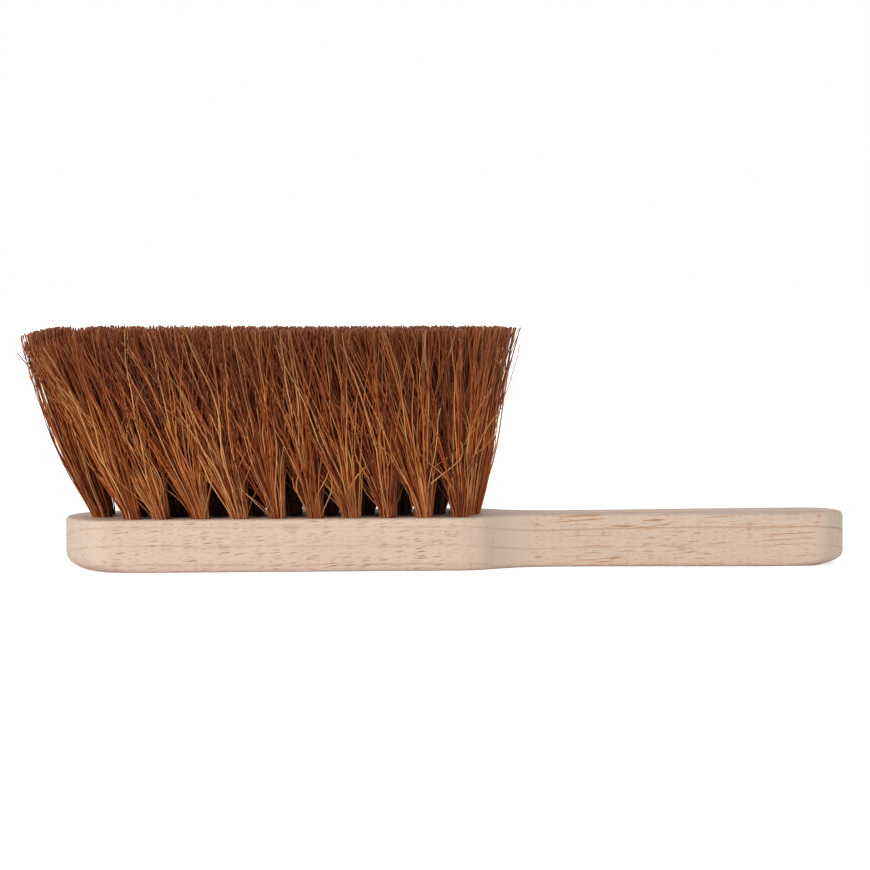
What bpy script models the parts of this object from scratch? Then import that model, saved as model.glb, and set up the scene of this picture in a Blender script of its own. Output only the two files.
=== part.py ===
"""Hand brush: a one-piece wooden block with coir tufts set in blind holes.

The brush lies on its flat back with the bristles up. X runs along the brush from the nose to the
handle, Y across it and Z up. The origin is on the flat back, under the middle of the head.
"""

import math

import bmesh
import bpy
from mathutils import Vector

MM = 0.001

# The block seen from above
NOSE_X = -75 * MM
SHOULDER_X = 71 * MM
HANDLE_LENGTH = 144 * MM
HEAD_WIDTH = 50 * MM
NECK_WIDTH = 24 * MM
GRIP_WIDTH = 33 * MM
NOSE_DEPTH = 19 * MM
SHOULDER_LENGTH = 36 * MM
SHOULDER_CREST = 12 * MM
GRIP_END_DEPTH = 13 * MM
GRIP_BELLY = 22 * MM

# The block seen from the side
BLOCK_THICKNESS = 19.5 * MM
HEAD_TOP_EDGE_RADIUS = 1.3 * MM
HEAD_BACK_EDGE_RADIUS = 2 * MM
HANDLE_EDGE_RADIUS = 1.8 * MM
NOSE_UNDERCUT_HEIGHT = 6.5 * MM
NOSE_UNDERCUT_REACH = 10 * MM
NOSE_UNDERCUT_LENGTH = 30 * MM
GRIP_UNDERCUT_HEIGHT = 4.6 * MM
GRIP_UNDERCUT_REACH = 10 * MM
GRIP_UNDERCUT_LENGTH = 18 * MM

# Tuft holes: two outer rows along the edges and two inner rows that start nearer the nose
HOLE_RADIUS = 3.45 * MM
HOLE_FLOOR = 5.5 * MM
HOLE_EDGE_WALL = 2.8 * MM
OUTER_COUNT = 10
INNER_COUNT = 11
OUTER_NOSE_MARGIN = 26.8 * MM
INNER_NOSE_MARGIN = 14.4 * MM
OUTER_SHOULDER_OFFSET = 1 * MM
INNER_SHOULDER_OFFSET = 4.7 * MM
CORNER_GAP_SHARE = 0.77
PITCH_EASE = 1.7 * MM

# Tufts: each is a bundle folded over a flat wire anchor and pressed into its hole
SEAT_GAP = 0.3 * MM
BUTT_PROUD = 0.8 * MM
FOLD_HEIGHT = 3 * MM
FOLD_THICKNESS = 2.2 * MM
FOLD_WIDTH_SHARE = 0.7
ANCHOR_THICKNESS = 0.5 * MM
ANCHOR_HEIGHT = 2 * MM
ANCHOR_LIFT = 0.6 * MM

# Bristles: how high they are trimmed, how long a fibre is, and how they lean and spread
BRISTLE_HEIGHT = 69.3 * MM
FIBRE_SPARE = 2 * MM
COMBED_LEAN = 10.5 * MM
LEAN_PER_LENGTH = 0.14
END_FLARE = 12 * MM
END_FLARE_LENGTH = 26 * MM
SPLAY_ACROSS = 1.5
FAN_SHARE = 2.3
NOSE_BEND = 0.8
LEAST_BEND = 0.25
STRAND_ROOT_RADIUS = 0.62 * MM
STRAND_TIP_RADIUS = 0.8 * MM
OUTER_STRANDS = 7
OUTER_STRAND_SHARE = 0.66

# Facets
HOLE_SIDES = 8
STRAND_SIDES = 3
BENT_STATIONS = (0.0, 0.45, 1.0)
STRAIGHT_STATIONS = (0.0, 1.0)
NOSE_STEPS = 14
CREST_STEPS = 5
HOLLOW_STEPS = 6
BELLY_STEPS = 7
GRIP_END_STEPS = 10
EDGE_STEPS = 3

GRIP_END_X = SHOULDER_X + HANDLE_LENGTH
BUTT_RADIUS = HOLE_RADIUS - SEAT_GAP
BUTT_TOP = BLOCK_THICKNESS + BUTT_PROUD
BUTT_BOTTOM = HOLE_FLOOR + SEAT_GAP


def clear_scene():
    """Removes the start-up objects."""
    for obj in list(bpy.data.objects):
        bpy.data.objects.remove(obj, do_unlink=True)


def linear(channel):
    """The linear value of one sRGB channel given from 0 to 255."""
    value = channel / 255
    if value <= 0.04045:
        return value / 12.92
    return ((value + 0.055) / 1.055) ** 2.4


def new_material(name, rgb, roughness):
    """A Principled material with an sRGB colour."""
    material = bpy.data.materials.new(name)
    material.use_nodes = True
    shader = material.node_tree.nodes["Principled BSDF"]
    shader.inputs["Base Color"].default_value = (*[linear(c) for c in rgb], 1)
    shader.inputs["Roughness"].default_value = roughness
    shader.inputs["Metallic"].default_value = 0
    return material


def object_from(bm, name, material=None):
    """A linked object that owns the bmesh, shaded smooth except over sharp edges."""
    bmesh.ops.recalc_face_normals(bm, faces=bm.faces)
    mesh = bpy.data.meshes.new(name)
    bm.to_mesh(mesh)
    bm.free()
    mesh.shade_smooth()
    mesh.set_sharp_from_angle(angle=math.radians(35))
    if material:
        mesh.materials.append(material)
    obj = bpy.data.objects.new(name, mesh)
    bpy.context.scene.collection.objects.link(obj)
    return obj


def smooth_step(value):
    """0 up to 0, 1 from 1 on, and an even S between them."""
    share = min(max(value, 0), 1)
    return share * share * (3 - 2 * share)


def nose_side():
    """Points of the elliptical nose from its tip to where the head is full width."""
    for step in range(NOSE_STEPS + 1):
        turn = math.pi / 2 * step / NOSE_STEPS
        x = NOSE_X + NOSE_DEPTH * (1 - math.cos(turn))
        yield x, HEAD_WIDTH / 2 * math.sin(turn)


def shoulder_side():
    """Points of the shoulder: a convex crest, then a longer hollow, as two tangent arcs."""
    drop = (HEAD_WIDTH - NECK_WIDTH) / 2
    turn = 2 * math.atan2(drop, SHOULDER_LENGTH)
    radii = SHOULDER_LENGTH / math.sin(turn)
    crest = radii * SHOULDER_CREST / SHOULDER_LENGTH
    hollow = radii - crest
    for step in range(CREST_STEPS + 1):
        angle = turn * step / CREST_STEPS
        x = SHOULDER_X + crest * math.sin(angle)
        yield x, HEAD_WIDTH / 2 - crest * (1 - math.cos(angle))
    for step in range(1, HOLLOW_STEPS + 1):
        angle = turn * (1 - step / HOLLOW_STEPS)
        x = SHOULDER_X + SHOULDER_LENGTH - hollow * math.sin(angle)
        yield x, NECK_WIDTH / 2 + hollow * (1 - math.cos(angle))


def grip_side():
    """Points of the grip: it swells from the neck to the belly, and ends in half an ellipse."""
    start = SHOULDER_X + SHOULDER_LENGTH
    belly = GRIP_END_X - GRIP_BELLY
    swell = (GRIP_WIDTH - NECK_WIDTH) / 2
    for step in range(1, BELLY_STEPS + 1):
        share = step / BELLY_STEPS
        yield start + (belly - start) * share, NECK_WIDTH / 2 + swell * smooth_step(share)
    for step in range(GRIP_END_STEPS + 1):
        turn = math.pi / 2 * step / GRIP_END_STEPS
        x = GRIP_END_X - GRIP_END_DEPTH * (1 - math.sin(turn))
        yield x, GRIP_WIDTH / 2 * math.cos(turn)


def block_outline():
    """The closed outline of the block as points in a ring, with their outward normals."""
    side = [*nose_side(), *shoulder_side(), *grip_side()]
    mirrored = [(x, -y) for x, y in reversed(side[1:-1])]
    ring = [Vector((x, y)) for x, y in side + mirrored]
    normals = []
    for index, _ in enumerate(ring):
        before = ring[index - 1]
        after = ring[(index + 1) % len(ring)]
        along = (after - before).normalized()
        normals.append(Vector((-along.y, along.x)))
    return list(zip(ring, normals))


def edge_sizes(x):
    """(top radius, back reach, back height) of the rounded edges at x."""
    nose = 1 - smooth_step((x - NOSE_X) / NOSE_UNDERCUT_LENGTH)
    handle = smooth_step((x - SHOULDER_X) / SHOULDER_LENGTH)
    top = HEAD_TOP_EDGE_RADIUS + (HANDLE_EDGE_RADIUS - HEAD_TOP_EDGE_RADIUS) * handle
    back = HEAD_BACK_EDGE_RADIUS + (HANDLE_EDGE_RADIUS - HEAD_BACK_EDGE_RADIUS) * handle
    grip_end = smooth_step((x - GRIP_END_X) / GRIP_UNDERCUT_LENGTH + 1)
    reach = back + (NOSE_UNDERCUT_REACH - back) * nose
    reach += (GRIP_UNDERCUT_REACH - back) * grip_end
    height = back + (NOSE_UNDERCUT_HEIGHT - back) * nose
    height += (GRIP_UNDERCUT_HEIGHT - back) * grip_end
    return top, reach, height


def block_rings():
    """Rings of points from the flat back up to the flat top, each edge a quarter round."""
    outline = block_outline()
    rings = []
    for step in range(EDGE_STEPS + 1):
        turn = math.pi / 2 * step / EDGE_STEPS
        ring = []
        for point, normal in outline:
            _, reach, height = edge_sizes(point.x)
            inset = point - normal * reach * (1 - math.sin(turn))
            ring.append((inset.x, inset.y, height * (1 - math.cos(turn))))
        rings.append(ring)
    for step in range(EDGE_STEPS + 1):
        turn = math.pi / 2 * step / EDGE_STEPS
        ring = []
        for point, normal in outline:
            top, _, _ = edge_sizes(point.x)
            inset = point - normal * top * (1 - math.cos(turn))
            ring.append((inset.x, inset.y, BLOCK_THICKNESS - top * (1 - math.sin(turn))))
        rings.append(ring)
    return rings


def loft(bm, rings):
    """Skins a stack of rings of points and caps both ends."""
    skins = [[bm.verts.new(point) for point in ring] for ring in rings]
    for low, high in zip(skins, skins[1:]):
        for index, _ in enumerate(low):
            after = (index + 1) % len(low)
            bm.faces.new((low[index], low[after], high[after], high[index]))
    bm.faces.new(reversed(skins[0]))
    bm.faces.new(skins[-1])
    return skins


def polygon(centre, radius, z, sides):
    """Corners of a level regular polygon, one of its flats straight across the brush."""
    for index in range(sides):
        angle = math.pi / 2 + 2 * math.pi * (index + 0.5) / sides
        yield (centre.x + radius * math.cos(angle), centre.y + radius * math.sin(angle), z)


def row_places(count, first, last, first_gap_share):
    """X of each tuft of a row, the pitch a little wider near the nose than at the shoulder.

    The first gap, at the nose, is a share of the others.
    """
    steps = count - 2
    pitch = (last - first) / (steps + first_gap_share)
    places = [first]
    for step in range(steps + 1):
        share = step / steps
        places.append(last - pitch * (steps - step) + 4 * PITCH_EASE * share * (1 - share))
    return places


def tuft_places():
    """(name, centre) of every tuft. The back two rows mirror the front two."""
    outer_y = HEAD_WIDTH / 2 - HOLE_EDGE_WALL - HOLE_RADIUS
    outer_x = row_places(
        OUTER_COUNT, NOSE_X + OUTER_NOSE_MARGIN, SHOULDER_X + OUTER_SHOULDER_OFFSET, CORNER_GAP_SHARE
    )
    inner_x = row_places(
        INNER_COUNT, NOSE_X + INNER_NOSE_MARGIN, SHOULDER_X + INNER_SHOULDER_OFFSET, 1
    )
    rows = (
        ("front_row", outer_x, -outer_y),
        ("inner_front_row", inner_x, -outer_y / 3),
        ("inner_back_row", inner_x, outer_y / 3),
        ("back_row", outer_x, outer_y),
    )
    for row, places, y in rows:
        for number, x in enumerate(places, start=1):
            yield f"{row}_tuft_{number:02d}", Vector((x, y))


def hole_cutter():
    """One helper that holds a prism for every blind hole."""
    bm = bmesh.new()
    for _, centre in tuft_places():
        low = list(polygon(centre, HOLE_RADIUS, HOLE_FLOOR, HOLE_SIDES))
        high = list(polygon(centre, HOLE_RADIUS, 2 * BLOCK_THICKNESS, HOLE_SIDES))
        loft(bm, [low, high])
    cutter = object_from(bm, "tuft_hole_cutter")
    cutter.hide_render = True
    cutter.display_type = "WIRE"
    return cutter


def make_block():
    """Head, shoulder and handle, sawn from one board, with its blind tuft holes."""
    bm = bmesh.new()
    loft(bm, block_rings())
    block = object_from(bm, "wooden_block", new_material("bare_wood", (220, 196, 176), 0.6))
    holes = block.modifiers.new("tuft_holes", "BOOLEAN")
    holes.operation = "DIFFERENCE"
    holes.object = hole_cutter()
    return block


def tip_over(spot):
    """Where a strand ends whose fanned root lies at the spot, seen from above."""
    flare = END_FLARE * smooth_step((spot.x - SHOULDER_X) / END_FLARE_LENGTH + 0.8)
    lean = -COMBED_LEAN + LEAN_PER_LENGTH * spot.x + flare
    return Vector((spot.x + lean, spot.y * SPLAY_ACROSS))


def strand_path(centre, offset):
    """(place, radius) of one strand from the butt's top to where it is trimmed."""
    root = centre + offset
    tip = tip_over(centre + offset * FAN_SHARE)
    bend = NOSE_BEND * (SHOULDER_X - centre.x) / (SHOULDER_X - NOSE_X)
    stations = BENT_STATIONS
    if bend < LEAST_BEND:
        bend = 0
        stations = STRAIGHT_STATIONS
    reach = (tip - root).length
    fibre = BRISTLE_HEIGHT + FIBRE_SPARE
    rise = min(BRISTLE_HEIGHT, math.sqrt(max(fibre**2 - reach**2, 0)))
    top = BLOCK_THICKNESS + rise
    for share in stations:
        sideways = share * (1 + bend * (1 - share))
        place = root.lerp(tip, sideways)
        radius = STRAND_ROOT_RADIUS + (STRAND_TIP_RADIUS - STRAND_ROOT_RADIUS) * share
        yield Vector((place.x, place.y, BUTT_TOP + (top - BUTT_TOP) * share)), radius


def strand_offsets():
    """Where the strands leave the butt: one in the middle and a ring of them around it."""
    yield Vector((0, 0))
    radius = BUTT_RADIUS * OUTER_STRAND_SHARE
    for index in range(OUTER_STRANDS):
        angle = 2 * math.pi * (index + 0.25) / OUTER_STRANDS
        yield Vector((radius * math.cos(angle), radius * math.sin(angle)))


def grow_strand(bm, centre, offset):
    """Skins one strand, which stands for a lock of fibres that opens towards its tip.

    Returns the edges of its open root.
    """
    rings = []
    for place, radius in strand_path(centre, offset):
        corners = polygon(place, radius, place.z, STRAND_SIDES)
        rings.append([bm.verts.new(corner) for corner in corners])
    for low, high in zip(rings, rings[1:]):
        for index in range(STRAND_SIDES):
            after = (index + 1) % STRAND_SIDES
            bm.faces.new((low[index], low[after], high[after], high[index]))
    bm.faces.new(rings[-1])
    return [bm.edges.get((rings[0][index - 1], rings[0][index])) for index in range(STRAND_SIDES)]


def fold_ring(centre):
    """The flattened lowest ring of a butt, where the bundle folds over its anchor."""
    for x, y, z in polygon(Vector((0, 0)), 1, BUTT_BOTTOM, HOLE_SIDES):
        across = y * BUTT_RADIUS * FOLD_WIDTH_SHARE
        yield (centre.x + x * FOLD_THICKNESS / 2, centre.y + across, z)


def anchor_helper(name, centre):
    """The flat wire that lies across the fold, as wide as the bundle above it."""
    bm = bmesh.new()
    bmesh.ops.create_cube(bm, size=1)
    low = BUTT_BOTTOM + ANCHOR_LIFT
    for vert in bm.verts:
        vert.co.x = centre.x + vert.co.x * ANCHOR_THICKNESS
        vert.co.y = centre.y + vert.co.y * 2 * BUTT_RADIUS
        vert.co.z = low + (vert.co.z + 0.5) * ANCHOR_HEIGHT
    anchor = object_from(bm, f"{name}_anchor")
    anchor.hide_render = True
    anchor.display_type = "WIRE"
    return anchor


def make_tuft(name, centre, material):
    """One tuft: its butt in the hole, the anchor across its fold, and the strands above."""
    bm = bmesh.new()
    butt = [
        list(fold_ring(centre)),
        list(polygon(centre, BUTT_RADIUS, BUTT_BOTTOM + FOLD_HEIGHT, HOLE_SIDES)),
        list(polygon(centre, BUTT_RADIUS, BUTT_TOP, HOLE_SIDES)),
    ]
    rim = loft(bm, butt)[-1]
    bm.faces.ensure_lookup_table()
    bmesh.ops.delete(bm, geom=[bm.faces[-1]], context="FACES_ONLY")
    edges = [bm.edges.get((rim[index - 1], rim[index])) for index in range(HOLE_SIDES)]
    for offset in strand_offsets():
        edges += grow_strand(bm, centre, offset)
    bmesh.ops.triangle_fill(bm, use_beauty=True, edges=edges)
    tuft = object_from(bm, name, material)
    anchor = tuft.modifiers.new("anchor", "BOOLEAN")
    anchor.operation = "UNION"
    anchor.object = anchor_helper(name, centre)
    return tuft


def main():
    """Builds the block and its tufts."""
    clear_scene()
    make_block()
    coir = new_material("coir", (150, 88, 50), 0.75)
    for name, centre in tuft_places():
        make_tuft(name, centre, coir)


main()
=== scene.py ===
"""Hand brush: bare rubberwood block with coir tufts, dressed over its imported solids.

The brush lies on its flat back. X runs from the nose to the end of the grip, Y across the brush
and Z from the flat back to the bristle tips. Lengths are in metres.
"""

import logging
import math
import random
from collections.abc import Iterable, Iterator
from dataclasses import dataclass, field
from enum import Enum
from typing import TypeAlias

import bmesh
import bpy
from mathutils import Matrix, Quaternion, Vector

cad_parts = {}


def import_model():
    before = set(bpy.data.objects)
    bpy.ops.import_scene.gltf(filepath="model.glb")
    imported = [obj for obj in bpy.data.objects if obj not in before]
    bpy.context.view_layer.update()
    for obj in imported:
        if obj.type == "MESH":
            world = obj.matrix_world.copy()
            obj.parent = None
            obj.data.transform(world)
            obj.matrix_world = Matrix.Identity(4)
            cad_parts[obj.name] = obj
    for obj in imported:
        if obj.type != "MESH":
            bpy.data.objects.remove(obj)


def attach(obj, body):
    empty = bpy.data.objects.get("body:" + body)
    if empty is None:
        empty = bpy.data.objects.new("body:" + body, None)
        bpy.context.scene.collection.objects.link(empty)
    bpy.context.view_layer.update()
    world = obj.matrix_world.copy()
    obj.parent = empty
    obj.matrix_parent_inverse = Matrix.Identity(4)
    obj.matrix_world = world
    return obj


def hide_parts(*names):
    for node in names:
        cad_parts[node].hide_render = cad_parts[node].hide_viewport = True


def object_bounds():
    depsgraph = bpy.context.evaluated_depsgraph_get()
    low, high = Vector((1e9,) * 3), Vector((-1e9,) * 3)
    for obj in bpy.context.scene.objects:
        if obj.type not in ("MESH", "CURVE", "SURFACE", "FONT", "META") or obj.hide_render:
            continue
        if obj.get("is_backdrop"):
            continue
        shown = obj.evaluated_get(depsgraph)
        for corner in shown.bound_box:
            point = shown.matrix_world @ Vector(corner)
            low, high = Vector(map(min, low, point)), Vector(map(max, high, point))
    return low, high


MM = 0.001

# A node stands for its first live output
Output: TypeAlias = bpy.types.Node | bpy.types.NodeSocket
Triple: TypeAlias = tuple[float, float, float]
Colour: TypeAlias = tuple[float, float, float, float]

log = logging.getLogger("hand_brush")


def linear_from_hex(code: str) -> Colour:
    """Turns an sRGB hex colour into linear RGBA, by the curve of the sRGB standard.

    Args:
        code: A hash and six hex digits.

    Returns:
        The linear colour with full alpha.
    """
    channels = []
    for start in (1, 3, 5):
        value = int(code[start : start + 2], 16) / 255
        channels.append(value / 12.92 if value <= 0.04045 else ((value + 0.055) / 1.055) ** 2.4)
    return (*channels, 1.0)


def smooth_step(value: float) -> float:
    """Returns the height of an even S from 0 at 0 to 1 at 1, level outside."""
    share = min(max(value, 0.0), 1.0)
    return share * share * (3 - 2 * share)


def sweep(turn: float, steps: int) -> list[float]:
    """Returns the angles that divide a turn into even steps, both ends included."""
    return [turn * step / steps for step in range(steps + 1)]


def new_object(name: str, data: bpy.types.ID) -> bpy.types.Object:
    """Adds an object to the scene.

    Args:
        name: The object's name.
        data: Its mesh, light or camera.

    Returns:
        The object, at the origin.
    """
    added = bpy.data.objects.new(name, data)
    bpy.context.scene.collection.objects.link(added)
    return added


def new_mesh(name: str, shape: bmesh.types.BMesh) -> bpy.types.Mesh:
    """Turns a shape into a mesh, and frees the shape.

    Args:
        name: The mesh's name.
        shape: The shape.

    Returns:
        The mesh.
    """
    mesh = bpy.data.meshes.new(name)
    shape.to_mesh(mesh)
    shape.free()
    return mesh


def keep_result(piece: bpy.types.Object) -> bpy.types.Mesh:
    """Puts the result of a piece's modifiers in place of its mesh, and removes them.

    Args:
        piece: The piece.

    Returns:
        Its new mesh.
    """
    graph = bpy.context.evaluated_depsgraph_get()
    mesh = bpy.data.meshes.new_from_object(piece.evaluated_get(graph))
    piece.modifiers.clear()
    piece.data = mesh
    return mesh


class Tree:
    """A node tree that starts empty and is filled node by node."""

    FAMILIES = ("ShaderNode", "GeometryNode", "FunctionNode", "Node")

    def __init__(self, tree: bpy.types.NodeTree) -> None:
        """Empties the tree, which is that of a material, of the world or of a modifier."""
        tree.nodes.clear()
        self.tree = tree

    def add(
        self, kind: str, *values: object, inputs: dict[str, object] | None = None, **settings: object
    ) -> bpy.types.Node:
        """Adds one node with its settings, values and links.

        Args:
            kind: The node's type name without its family.
            *values: For the first inputs in order, a value to set, or an output to link.
            inputs: The same for other inputs, by name.
            **settings: Properties of the node itself.

        Returns:
            The new node.
        """
        family = next(name for name in self.FAMILIES if hasattr(bpy.types, name + kind))
        node = self.tree.nodes.new(family + kind)
        for name, value in settings.items():
            setattr(node, name, value)
        for key, value in (*enumerate(values), *(inputs or {}).items()):
            socket = node.inputs[key]
            if isinstance(value, bpy.types.Node):
                value = next(output for output in value.outputs if output.enabled)
            if isinstance(value, bpy.types.NodeSocket):
                self.tree.links.new(value, socket)
            else:
                socket.default_value = value
        return node


@dataclass(frozen=True)
class Tint:
    """A colour, and how strongly it covers the colours under it."""

    code: str
    strength: float = 1.0


class Finish(Tree):
    """A material's tree, with the place and the direction of the surface in object space."""

    def __init__(self, name: str) -> None:
        """Starts the material.

        Args:
            name: The material's name.
        """
        self.material = bpy.data.materials.new(name)
        self.material.use_nodes = True
        super().__init__(self.material.node_tree)
        coords = self.add("TexCoord").outputs
        self.place, self.normal = coords["Object"], coords["Normal"]

    def end(self, surface: Output) -> bpy.types.Material:
        """Ends the tree with its surface, and returns the material."""
        self.add("OutputMaterial", surface)
        return self.material


def set_ramp(node: bpy.types.Node, stops: Iterable[tuple[float, str]]) -> None:
    """Fills a colour ramp.

    Args:
        node: The ramp node.
        stops: The places in rising order, each with its hex colour.
    """
    elements = node.color_ramp.elements
    while len(elements) > 1:
        elements.remove(elements[-1])
    for count, (place, code) in enumerate(stops):
        element = elements[0] if count == 0 else elements.new(place)
        element.position = place
        element.color = linear_from_hex(code)


def lay_over(tree: Tree, colour: Output | Colour, layers: Iterable[tuple[Output, Tint]]) -> Output:
    """Lays tints over a colour, one after another.

    Args:
        tree: The material's tree.
        colour: The colour under them all.
        layers: For each tint, the share of the surface that it covers, and the tint.

    Returns:
        The mixed colour.
    """
    for share, tint in layers:
        amount = tree.add("Math", share, tint.strength, operation="MULTIPLY")
        mixed = {"Factor": amount, "A": colour, "B": linear_from_hex(tint.code)}
        colour = tree.add("Mix", inputs=mixed, data_type="RGBA")
    return colour


@dataclass(frozen=True)
class Cell:
    """One cell of a pattern in the wood: its length along the grain and its width across it.

    In a pattern of dashes, a share of the cells can be bare.
    """

    length: float
    width: float
    bare: float = 0.0


@dataclass(frozen=True)
class Mark:
    """A dark pin knot or a faint smudge on the head's front."""

    x: float
    z: float
    length: float
    height: float
    strength: float


@dataclass(frozen=True)
class BareRubberwood:
    """Rubberwood, sawn, planed and sanded, with no varnish.

    The growth rings are near level boards of colour, so they show as thin lines along the sides.
    The open vessels show as fine tan dashes that rise a little towards the handle, and on the
    handle as longer rusty streaks. Where the saw crosses the grain the wood is greyer and
    speckled with cut vessels.
    """

    name: str = "bare_sanded_rubberwood"
    face: str = "#E4CFBC"
    flush: Tint = Tint("#E2C7B6", 0.8)
    under_band: Tint = Tint("#E1C6B4", 0.85)
    # Painted shade: the handle is drawn greyer and darker than the head
    handle_shade: Tint = Tint("#C1B2A5", 0.38)
    fibre: Tint = Tint("#D2B298", 0.6)
    fine_vessel: Tint = Tint("#AC7242", 0.6)
    vessel: Tint = Tint("#AC7242")
    rust: Tint = Tint("#B87A3E")
    end_grain: Tint = Tint("#D6C4B3", 0.75)
    end_speck: Tint = Tint("#AC7242", 0.55)
    late_wood: Tint = Tint("#BB9274", 0.75)
    knot: str = "#7A5233"
    roughness: float = 0.62
    bump_strength: float = 0.3
    bump_depth: float = 0.12 * MM

    # Real vessels are 0.1 to 0.2 mm wide, too fine to show from here. A dash fills about half the
    # width of its cell, so it is drawn about twice as wide as a vessel, and a cut end wider still
    vessel_cell: Cell = Cell(6.5 * MM, 0.6 * MM, 0.35)
    fine_cell: Cell = Cell(3 * MM, 0.42 * MM, 0.1)
    rust_cell: Cell = Cell(36 * MM, 0.52 * MM, 0.68)
    speck_cell: Cell = Cell(1.6 * MM, 0.9 * MM)
    fibre_cell: Cell = Cell(9 * MM, 0.5 * MM)
    fray_cell: Cell = Cell(2.5 * MM, 0.7 * MM)
    rust_cloud: Cell = Cell(42 * MM, 1.1 * MM)
    open_cloud: Cell = Cell(24 * MM, 9 * MM)
    flush_cloud: Cell = Cell(60 * MM, 7 * MM)
    worn_patch: Cell = Cell(9 * MM, 3 * MM)
    fray_along: float = 1.5 * MM
    vessel_fray: float = 0.35 * MM
    rust_fray: float = 0.1 * MM

    ring_pitch: float = 6.85 * MM
    ring_dip: float = 0.2
    lowest_ring: float = -1.9 * MM
    ring_drift: float = 1.3 * MM
    drift_length: float = 62.5 * MM
    # Through one year: the line of late wood fades in, is sharp where the year ends, and stops
    ring_line: tuple[tuple[float, str], ...] = (
        (0.0, "#FFFFFF"),
        (0.05, "#000000"),
        (0.8, "#000000"),
        (0.92, "#666666"),
        (0.96, "#FFFFFF"),
    )
    line_wear: tuple[float, float] = (0.1, 0.6)
    whole_line: float = 0.95
    whole_line_heights: tuple[float, float] = (7.5 * MM, 9.5 * MM)
    band_rise: float = 4.2 * MM
    band_rise_to: float = 130 * MM
    band_edge: tuple[float, float] = (0.2 * MM, -0.3 * MM)

    grain_rise: float = 0.1
    grain_level_from: float = 75 * MM
    handle_from: float = 60 * MM
    handle_to: float = 110 * MM
    # How strongly the vessels show: least and most on the head, and on the handle
    openness: Triple = (0.6, 1.1, 0.3)
    # How strongly the rusty streaks show on the head
    head_rust: float = 0.12
    rust_shift: Triple = (18 * MM, 0.0, 2.6 * MM)
    rust_rise: float = math.radians(3)
    # Sizes of the normal's X between which the wood is cut across, and the dashes show whole
    cut_across: tuple[float, float] = (0.2, 0.95)
    cut_along: tuple[float, float] = (0.4, 0.12)

    front_y: float = -25 * MM
    mark_depth: float = 4 * MM
    marks: tuple[Mark, ...] = (
        Mark(-50.4 * MM, 15.1 * MM, 0.9 * MM, 0.8 * MM, 0.75),
        Mark(-19.3 * MM, 18.2 * MM, 0.8 * MM, 0.6 * MM, 0.6),
        Mark(66.7 * MM, 14.7 * MM, 0.9 * MM, 0.9 * MM, 0.75),
        Mark(9.6 * MM, 16.6 * MM, 9.0 * MM, 3.4 * MM, 0.2),
    )

    def make(self) -> bpy.types.Material:
        """Builds the material.

        Returns:
            The wood material.
        """
        tree = Finish(self.name)
        grain = self._grain_space(tree)
        handle = self._handle(tree)
        across = self._turned(tree, self.cut_across)
        along = self._turned(tree, self.cut_along)
        fibres = self._clouds(tree, grain, self.fibre_cell, 3.0, 0.65)
        frayed = self._frayed(tree, grain, self.vessel_fray)
        vessels = self._dashes(tree, frayed, self.vessel_cell)
        openness = self._openness(tree, handle)
        opened = tree.add("Math", vessels, openness, operation="MULTIPLY")
        dashes = (
            (self._dashes(tree, frayed, self.fine_cell), self.fine_vessel),
            (opened, self.vessel),
            (self._streaks(tree, handle), self.rust),
        )
        rings, band = self._rings(tree, handle)
        layers = [
            (self._flush(tree, grain), self.flush),
            (band, self.under_band),
            # painted shade on the handle
            (handle, self.handle_shade),
            (fibres, self.fibre),
        ]
        for share, tint in dashes:
            sunk = tree.add("Math", share, along, operation="MULTIPLY")
            layers.append((sunk, tint))
        layers += [
            (across, self.end_grain),
            (self._end_specks(tree, across), self.end_speck),
            (rings, self.late_wood),
        ]
        for mark in self.marks:
            layers.append((self._mark(tree, mark), Tint(self.knot, mark.strength)))
        height = tree.add("Math", fibres, vessels, operation="SUBTRACT")
        relief = {"Strength": self.bump_strength, "Distance": self.bump_depth, "Height": height}
        bump = tree.add("Bump", inputs=relief)
        shader = tree.add(
            "BsdfPrincipled",
            inputs={
                "Base Color": lay_over(tree, linear_from_hex(self.face), layers),
                "Roughness": self.roughness,
                "IOR": 1.5,
                "Specular IOR Level": 0.5,
                "Normal": bump,
            },
        )
        return tree.end(shader)

    def _grain_space(self, tree: Finish) -> Output:
        """Shears space so that X lies along the vessels, which rise towards the shoulder.

        Args:
            tree: The material's tree.

        Returns:
            The sheared place.
        """
        apart = tree.add("SeparateXYZ", tree.place)
        reached = tree.add("Math", apart, self.grain_level_from, operation="MINIMUM")
        fall = tree.add("Math", reached, -self.grain_rise, operation="MULTIPLY")
        shear = tree.add("CombineXYZ", inputs={"Z": fall})
        return tree.add("VectorMath", tree.place, shear, operation="ADD")

    def _squeezed(self, tree: Finish, place: Output, cell: Cell) -> Output:
        """Returns the place scaled so that one unit is one cell."""
        scale = (1 / cell.length, 1 / cell.width, 1 / cell.width)
        return tree.add("VectorMath", place, scale, operation="MULTIPLY")

    def _clouds(
        self, tree: Finish, place: Output, cell: Cell, detail: float, roughness: float = 0.5
    ) -> bpy.types.Node:
        """Gives soft clouds, about one in a cell.

        Args:
            tree: The material's tree.
            place: The place along and across the pattern.
            cell: The size of the pattern's cells.
            detail: How many finer layers the clouds have.
            roughness: How strong the finer layers are.

        Returns:
            The noise node.
        """
        space = self._squeezed(tree, place, cell)
        sizes = {"Vector": space, "Scale": 1.0, "Detail": detail, "Roughness": roughness}
        return tree.add("TexNoise", inputs=sizes)

    def _frayed(self, tree: Finish, grain: Output, jitter: float) -> Output:
        """Jitters the place a little, so that the dashes' edges fray.

        Args:
            tree: The material's tree.
            grain: The place along and across the grain.
            jitter: The most that a place moves across the grain.

        Returns:
            The jittered place.
        """
        noise = self._clouds(tree, grain, self.fray_cell, 2.0).outputs["Color"]
        room = (self.fray_along, jitter, jitter)
        return tree.add("VectorMath", noise, room, grain, operation="MULTIPLY_ADD")

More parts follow.
